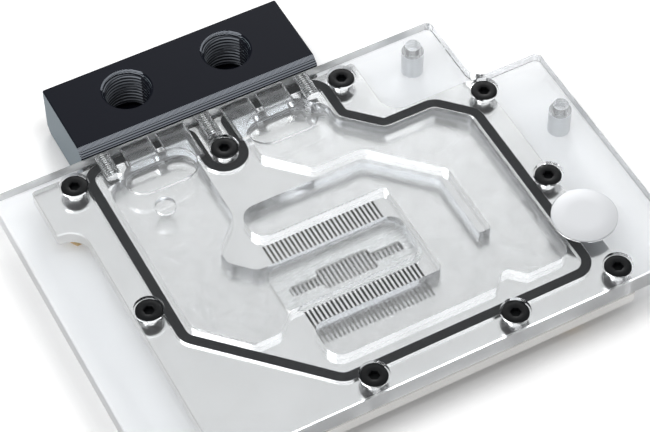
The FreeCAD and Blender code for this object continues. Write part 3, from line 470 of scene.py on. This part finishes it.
def ring_angles():
    """Even angles round a full turn."""
    return [2 * math.pi * step / ROUND_STEPS for step in range(ROUND_STEPS)]


def round_ring(radius, height):
    """Points on a circle about the Z axis."""
    return [(radius * math.cos(a), radius * math.sin(a), height) for a in ring_angles()]


def hexagon_ring(width, height):
    """Points on a hexagon's outline at even angles, given its width across the flats."""
    points = []
    for angle in ring_angles():
        from_flat = (angle + math.pi / 6) % (math.pi / 3) - math.pi / 6
        radius = width / 2 / math.cos(from_flat)
        points.append((radius * math.cos(angle), radius * math.sin(angle), height))
    return points


def thread_rings(top, bottom, thread, steps_per_turn=8):
    """Rings down a screw thread with flat crests and roots, fading in at both ends."""
    flat = 0.12                 # share of the slope that a crest or a root takes
    count = max(2, round((top - bottom) / thread["pitch"] * steps_per_turn))
    rings = []
    for step in range(count + 1):
        height = top + (bottom - top) * step / count
        fade = min(1.0, (top - height) / thread["pitch"], (height - bottom) / thread["pitch"])
        ring = []
        for angle in ring_angles():
            turn = (height / thread["pitch"] - angle / (2 * math.pi)) % 1.0
            slope = abs(turn * 2 - 1)
            share = min(1.0, max(0.0, (slope - flat) / (1 - 2 * flat)))
            radius = thread["root"] + (thread["crest"] - thread["root"]) * share * max(0.0, fade)
            ring.append((radius * math.cos(angle), radius * math.sin(angle), height))
        rings.append(ring)
    return rings


def screw_rings(head_radius, rim, length, cone):
    """A socket screw from the bottom of its socket, over the head and down the threaded shank.
    Zero is the top of the head, and the rim is the head's upright side."""
    edge = EDGE_BREAK
    crest = M4_THREAD["crest"]
    socket = SOCKET_WIDTH / 2
    plain_shank = 0.1           # between the head and the thread
    plain_point = 0.6
    seat = -(rim + (head_radius - crest if cone else 0))
    rings = [
        hexagon_ring(socket, -SOCKET_DEPTH),
        hexagon_ring(socket * 2, -SOCKET_DEPTH),
        hexagon_ring(socket * 2, -edge),
        round_ring(socket * 1.2, -edge / 4),
        round_ring(socket * 1.28, 0),
        round_ring(head_radius - edge * 2, 0),
        round_ring(head_radius - edge * 0.6, -edge * 0.6),
        round_ring(head_radius, -edge * 2),
        round_ring(head_radius, -rim),
    ]
    if not cone:
        rings.append(round_ring(head_radius - edge, -rim - 0.001))
    rings.append(round_ring(crest, seat - 0.02))
    rings += thread_rings(seat - plain_shank, plain_point - length, M4_THREAD)
    rings.append(round_ring(M4_THREAD["root"] * 0.8, -length))
    return rings


def make_cover_screws():
    """Black countersunk screws, each in the place of its CAD node."""
    for number in range(1, 10):
        name = f"cover_screw_{number}"
        low, high = node_box(name)
        middle = (low + high) / 2
        head = (high.x - low.x) / 2
        rings = screw_rings(head, COUNTERSUNK_RIM, high.z - low.z, cone=True)
        placed = [[(x + middle.x, y + middle.y, z + high.z) for x, y, z in ring] for ring in rings]
        piece = piece_from_rings(f"countersunk_screw_{number}", placed, "black_steel")
        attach(piece, "root")
        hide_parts(name)


def make_terminal_screws():
    """Cap screws along Y through the terminal block into the edge of the cover."""
    for number in range(1, 4):
        name = f"terminal_screw_{number}"
        low, high = node_box(name)
        middle = (low + high) / 2
        head = (high.x - low.x) / 2
        rings = screw_rings(head, CAP_HEAD_HEIGHT, high.y - low.y, cone=False)
        placed = [[(middle.x + x, high.y + z, middle.z - y) for x, y, z in ring] for ring in rings]
        piece = piece_from_rings(f"cap_screw_{number}", placed, "steel")
        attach(piece, "root")
        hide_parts(name)


def port_centres():
    """The side and the centre of each port, from the record's mounts, in millimetres."""
    mounts = {mount["name"]: mount for mount in frame["record"]["mounts"]}
    return [(side, Vector(mounts[f"port_{side}"]["pos_m"]) / MM) for side in ("left", "right")]


def make_port_threads():
    """The internal thread of each port, as a thin sleeve on the bore's wall."""
    top = block_high.z - PORT_THREAD_TOP
    bottom = block_high.z - PORT_THREAD_BOTTOM
    skin = 0.012
    for side, centre in port_centres():
        inner = thread_rings(top, bottom, PORT_THREAD, steps_per_turn=12)
        outer = [round_ring(PORT_THREAD["root"] + skin, height) for height in (bottom, top)]
        rings = [[(x + centre.x, y + centre.y, z) for x, y, z in ring] for ring in inner + outer]
        piece = piece_from_rings(f"port_thread_{side}", rings + rings[:1], "black_acetal",
                                 close_ends=False)
        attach(piece, "root")


def make_badge():
    """Round badge with a softly rounded rim, in the place of its CAD node."""
    low, high = node_box("badge")
    middle = (low + high) / 2
    radius = (high.x - low.x) / 2
    lower = 0.05                # rounding of the lower and of the upper edge
    upper = 0.2
    profile = [(radius * 0.5, low.z), (radius - lower, low.z), (radius, low.z + lower),
               (radius, high.z - upper), (radius - upper * 0.3, high.z - upper * 0.3),
               (radius - upper, high.z), (radius * 0.5, high.z)]
    rings = [[(x + middle.x, y + middle.y, z) for x, y, z in round_ring(r, h)] for r, h in profile]
    piece = piece_from_rings("badge_disc", rings, "badge_silver")
    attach(piece, "root")
    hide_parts("badge")


def make_pressed_gasket():
    """The gasket with its top pressed just past the cover's underside, so no film of air shows."""
    name = "main_gasket"
    low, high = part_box(name)
    rise = joint_gap * 1.2 * MM
    data = frame["nodes"][name].data.copy()
    for corner in data.vertices:
        if corner.co.z > (low.z + high.z) / 2:
            corner.co.z += rise
    piece = bpy.data.objects.new("pressed_gasket", data)
    bpy.context.scene.collection.objects.link(piece)
    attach(piece, "root")
    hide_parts(name)


def make_floor():
    """A wide white floor under the part's lowest point. Its glow is turned down near the part's outline,
    which paints a band of shade round the part's foot on top of its real shadow."""
    half_side = 3.0
    fade_reach = 9.0            # from the outline to the full glow
    indirect_glow = 0.14        # as mirrored, and as seen through the acrylic
    mesh = bmesh.new()
    bmesh.ops.create_grid(mesh, x_segments=1, y_segments=1, size=half_side)
    data = bpy.data.meshes.new("floor")
    mesh.to_mesh(data)
    mesh.free()
    floor = bpy.data.objects.new("floor", data)
    floor.location.z = cad_bounds[0][2]
    bpy.context.scene.collection.objects.link(floor)
    material, tree, shader, place = new_material("white_floor")
    path = add_node(tree, "ShaderNodeLightPath")
    step_x, step_y = COVER_STEP
    rectangles = ((cover_low, Vector((cover_high.x, step_y, 0))),
                  (cover_low, Vector((step_x, cover_high.y, 0))),
                  (block_low, block_high))
    distance = half_side
    for low, high in rectangles:
        distance = add_node(tree, "ShaderNodeMath",
                            {0: distance_beyond(tree, place, low, high), 1: distance},
                            operation="MINIMUM").outputs[0]
    # Painted shade: the glow the camera sees drops near the part's outline, whatever the lamps do.
    glow_with_painted_foot_shade = add_node(tree, "ShaderNodeMapRange",
                      {"Value": distance, "From Min": 0.0, "From Max": fade_reach * MM,
                       "To Min": 0.02, "To Max": 0.4}, interpolation_type="SMOOTHSTEP")
    glow = strongest(tree, ((path.outputs["Is Camera Ray"], glow_with_painted_foot_shade.outputs["Result"]),
                            (path.outputs["Is Glossy Ray"], indirect_glow),
                            (path.outputs["Is Transmission Ray"], indirect_glow)))
    # From below the floor is clear, so that the underside can be looked at.
    below = add_node(tree, "ShaderNodeNewGeometry")
    solid = add_node(tree, "ShaderNodeMath", {0: 1.0, 1: below.outputs["Backfacing"]},
                     operation="SUBTRACT")
    set_inputs(tree, shader, Base_Color=linear("f4f4f4"), Roughness=0.9, Specular_IOR_Level=0.0,
               Alpha=solid.outputs[0], Emission_Color=linear("ffffff"), Emission_Strength=glow)
    data.materials.append(material)


def make_world():
    """White surroundings to the camera. Through the acrylic they are bright above and darker near
    the horizon, so that clear edges show. Mirrored they are dimmer, so that black stays black."""
    world = bpy.data.worlds.new("studio")
    bpy.context.scene.world = world
    world.use_nodes = True
    tree = world.node_tree
    tree.nodes.clear()
    path = add_node(tree, "ShaderNodeLightPath")
    outward = add_node(tree, "ShaderNodeTexCoord").outputs["Generated"]
    split = add_node(tree, "ShaderNodeSeparateXYZ", {"Vector": outward})
    surround = add_node(tree, "ShaderNodeMapRange",
                        {"Value": split.outputs["Z"], "From Min": 0.0, "From Max": 0.5,
                         "To Min": 0.35, "To Max": 0.97})
    # The side that the front faces is brighter, so that the channel walls stand out.
    sides = add_node(tree, "ShaderNodeMapRange",
                     {"Value": split.outputs["Y"], "From Min": -0.35, "From Max": 0.3,
                      "To Min": 1.6, "To Max": 1.0})
    # Straight above it falls off again, so that the plate keeps its greys when seen from the top.
    overhead = add_node(tree, "ShaderNodeMapRange",
                        {"Value": split.outputs["Z"], "From Min": 0.86, "From Max": 1.0,
                         "To Min": 1.0, "To Max": 0.55})
    around = add_node(tree, "ShaderNodeMath",
                      {0: surround.outputs["Result"], 1: sides.outputs["Result"]}, operation="MULTIPLY")
    around = add_node(tree, "ShaderNodeMath",
                      {0: around.outputs[0], 1: overhead.outputs["Result"]}, operation="MULTIPLY")
    mirrored = add_node(tree, "ShaderNodeMix",
                        {"Factor": path.outputs["Is Glossy Ray"], "A": 0.5, "B": 0.6})
    lit = add_node(tree, "ShaderNodeMix",
                   {"Factor": path.outputs["Is Transmission Ray"], "A": mirrored.outputs["Result"],
                    "B": around.outputs[0]})
    strength = add_node(tree, "ShaderNodeMix",
                        {"Factor": path.outputs["Is Camera Ray"], "A": lit.outputs["Result"], "B": 1.0})
    light = add_node(tree, "ShaderNodeBackground",
                     {"Color": linear("ffffff"), "Strength": strength.outputs["Result"]})
    add_node(tree, "ShaderNodeOutputWorld", {"Surface": light.outputs[0]})


def add_softbox(name, place, side, power):
    """A square area lamp, turned to the middle of the fins. Its place and side are in metres."""
    lamp = bpy.data.lights.new(name, "AREA")
    lamp.shape = "SQUARE"
    lamp.size = side
    lamp.energy = power
    holder = bpy.data.objects.new(name, lamp)
    holder.location = place
    holder.rotation_euler = (-Vector(place)).to_track_quat("-Z", "Y").to_euler()
    bpy.context.scene.collection.objects.link(holder)


def make_camera():
    """The photograph's view: a long lens, from the front left and above."""
    azimuth = math.radians(27.69)
    elevation = math.radians(51.93)
    roll = math.radians(-0.46)
    place = Vector((-170.8, -314.0, 484.4)) * MM
    ahead = Vector((math.sin(azimuth) * math.cos(elevation),
                    math.cos(azimuth) * math.cos(elevation), -math.sin(elevation)))
    level = Vector((math.cos(azimuth), -math.sin(azimuth), 0))
    raised = level.cross(ahead)
    right = level * math.cos(roll) + raised * math.sin(roll)
    up = raised * math.cos(roll) - level * math.sin(roll)
    lens = bpy.data.cameras.new("camera")
    lens.sensor_width = SENSOR_WIDTH
    lens.lens = PHOTO_FOCAL_LENGTH / PHOTO_WIDTH * SENSOR_WIDTH
    lens.clip_start = 0.05
    lens.clip_end = 20.0
    camera = bpy.data.objects.new("camera", lens)
    turn = Matrix((right, up, -ahead)).transposed().to_4x4()
    camera.matrix_world = Matrix.Translation(place) @ turn
    bpy.context.scene.collection.objects.link(camera)
    bpy.context.scene.camera = camera


make_camera()
make_world()
make_floor()
add_softbox("key_light", (-0.78, 0.05, 1.28), 0.8, 7.2)
add_softbox("back_light", (0.65, 1.2, 0.75), 0.6, 9.0)
bpy.context.scene.view_settings.view_transform = "Standard"

dress_cad_nodes()
make_cover_screws()
make_terminal_screws()
make_port_threads()
make_badge()
make_pressed_gasket()
